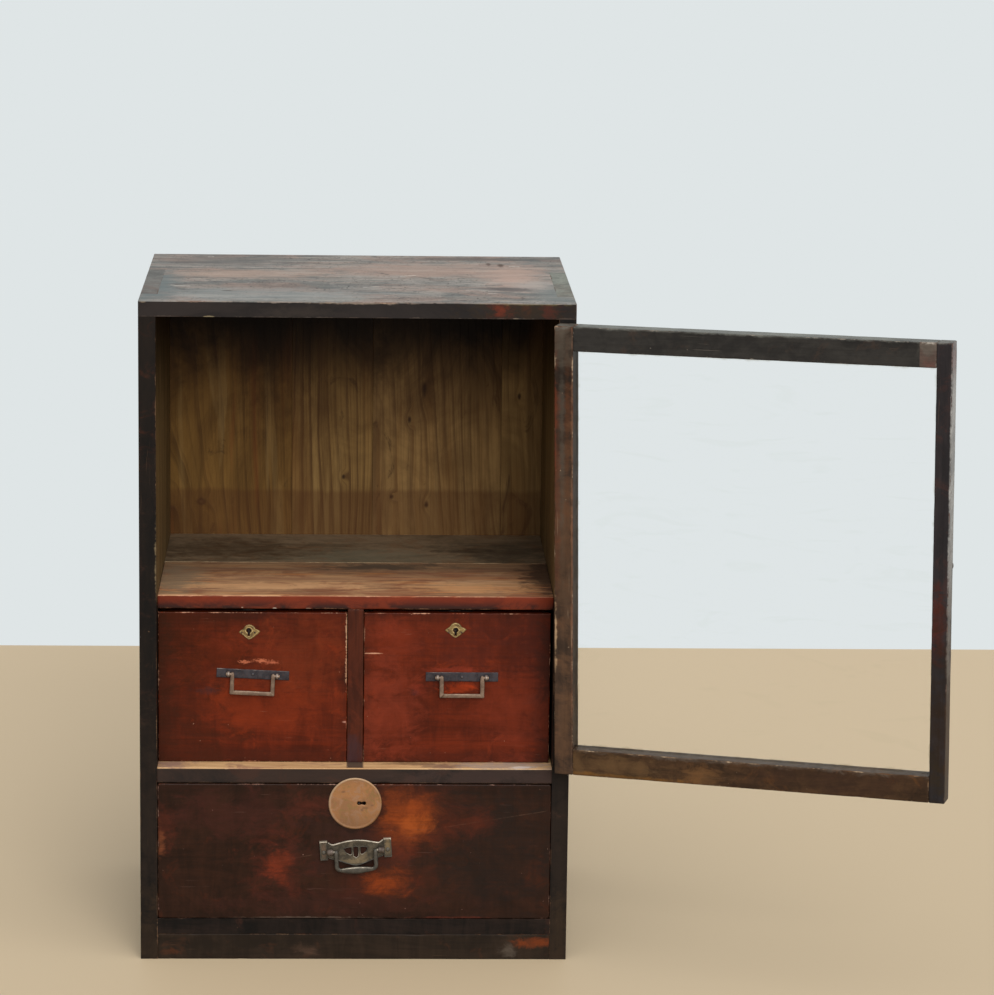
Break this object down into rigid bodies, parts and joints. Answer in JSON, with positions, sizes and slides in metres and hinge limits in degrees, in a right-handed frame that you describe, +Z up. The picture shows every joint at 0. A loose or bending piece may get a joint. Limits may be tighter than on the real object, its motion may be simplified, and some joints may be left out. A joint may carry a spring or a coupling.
{
  "type": "kitchen cabinet",
  "caption": "Small Japanese kitchen cabinet with a glazed hinged door over a shelf, small drawers behind the door and a large drawer below, with iron bail pulls and locks.",
  "frame": {"origin": "middle of the bottom front edge of the plinth board, where the front plane meets the ground", "axes": "+X to the right seen from the front, +Y into the case, +Z up"},
  "size_m": [0.8384, 0.5201, 0.711],
  "materials": {
    "case_lacquer": "worn dark brown lacquer",
    "back_wood": "aged cedar, wiped",
    "inner_wood": "bare aged softwood",
    "drawer_lacquer": "worn red-brown lacquer",
    "door_wood": "worn grey-brown lacquer",
    "glass": "clear",
    "iron": "worn wrought iron",
    "cast_iron": "worn cast iron",
    "copper_alloy": "dull copper brown",
    "brass": "dull brass"
  },
  "bodies": {
    "case": {"top_panel": "case_lacquer", "left_side_panel": "case_lacquer", "right_side_panel": "case_lacquer", "floor_panel": "case_lacquer", "plinth_board": "case_lacquer", "back_board_1": "back_wood", "back_board_2": "back_wood", "back_board_3": "back_wood", "back_board_4": "back_wood", "shelf_front_board": "case_lacquer", "shelf_rear_board": "case_lacquer", "divider_stile": "case_lacquer", "partition_panel": "inner_wood", "middle_rail": "case_lacquer", "middle_board": "inner_wood", "back_nails": "iron", "upper_hinge_case_leaf": "iron", "lower_hinge_case_leaf": "iron", "hinge_pins": "iron", "case_hinge_screws": "iron"},
    "door": {"hinge_stile": "door_wood", "free_stile": "door_wood", "top_rail": "door_wood", "bottom_rail": "door_wood", "glass_pane": "glass", "upper_hinge_door_leaf": "iron", "lower_hinge_door_leaf": "iron", "door_hinge_screws": "iron", "door_knob": "door_wood"},
    "left_drawer": {"left_drawer_front": "drawer_lacquer", "left_drawer_sides": "inner_wood", "left_drawer_back": "inner_wood", "left_drawer_bottom": "inner_wood", "left_escutcheon": "brass", "left_fitting_pins": "iron", "left_pull_plate": "iron", "left_pull_eyes": "iron", "left_lock_case": "iron"},
    "right_drawer": {"right_drawer_front": "drawer_lacquer", "right_drawer_sides": "inner_wood", "right_drawer_back": "inner_wood", "right_drawer_bottom": "inner_wood", "right_escutcheon": "brass", "right_fitting_pins": "iron", "right_pull_plate": "iron", "right_pull_eyes": "iron", "right_lock_case": "iron"},
    "large_drawer": {"large_drawer_front": "case_lacquer", "large_drawer_sides": "inner_wood", "large_drawer_back": "inner_wood", "large_drawer_bottom": "inner_wood", "large_lock_plate": "copper_alloy", "large_lock_case": "iron", "large_pull_plate": "cast_iron"},
    "left_bail": {"left_pull_bail": "iron"},
    "right_bail": {"right_pull_bail": "iron"},
    "large_bail": {"large_pull_bail": "cast_iron"},
    "left_bolt": {"left_lock_bolt": "iron"},
    "right_bolt": {"right_lock_bolt": "iron"},
    "large_bolt": {"large_lock_bolt": "iron"}
  },
  "joints": [
    {"name": "door_hinge", "type": "hinge", "parent": "case", "child": "door", "pos_m": [0.2121, -0.00275, 0.4525], "axis": [-0.0084, 0.0014, 1], "range_deg": [-160.5, 17.5]},
    {"name": "left_drawer_slide", "type": "slide", "parent": "case", "child": "left_drawer", "axis": [0, -1, 0], "range_m": [0, 0.27]},
    {"name": "right_drawer_slide", "type": "slide", "parent": "case", "child": "right_drawer", "axis": [0, -1, 0], "range_m": [0, 0.27]},
    {"name": "large_drawer_slide", "type": "slide", "parent": "case", "child": "large_drawer", "axis": [0, -1, 0], "range_m": [0, 0.27]},
    {"name": "left_bail_swing", "type": "hinge", "parent": "left_drawer", "child": "left_bail", "pos_m": [-0.1087, 0.0185, 0.308], "axis": [-0.999, 0, 0.0436], "range_deg": [-4, 100]},
    {"name": "right_bail_swing", "type": "hinge", "parent": "right_drawer", "child": "right_bail", "pos_m": [0.1132, 0.0185, 0.306], "axis": [-1, 0, 0], "range_deg": [-4, 100]},
    {"name": "large_bail_swing", "type": "hinge", "parent": "large_drawer", "child": "large_bail", "pos_m": [0.00146, -0.0084, 0.1226], "axis": [-0.9982, 0, -0.0593], "range_deg": [-4, 100]},
    {"name": "left_bolt_slide", "type": "slide", "parent": "left_drawer", "child": "left_bolt", "axis": [0, 0, 1], "range_m": [0, 0.009]},
    {"name": "right_bolt_slide", "type": "slide", "parent": "right_drawer", "child": "right_bolt", "axis": [0, 0, 1], "range_m": [0, 0.009]},
    {"name": "large_bolt_slide", "type": "slide", "parent": "large_drawer", "child": "large_bolt", "axis": [0, 0, 1], "range_m": [0, 0.006]}
  ]
}
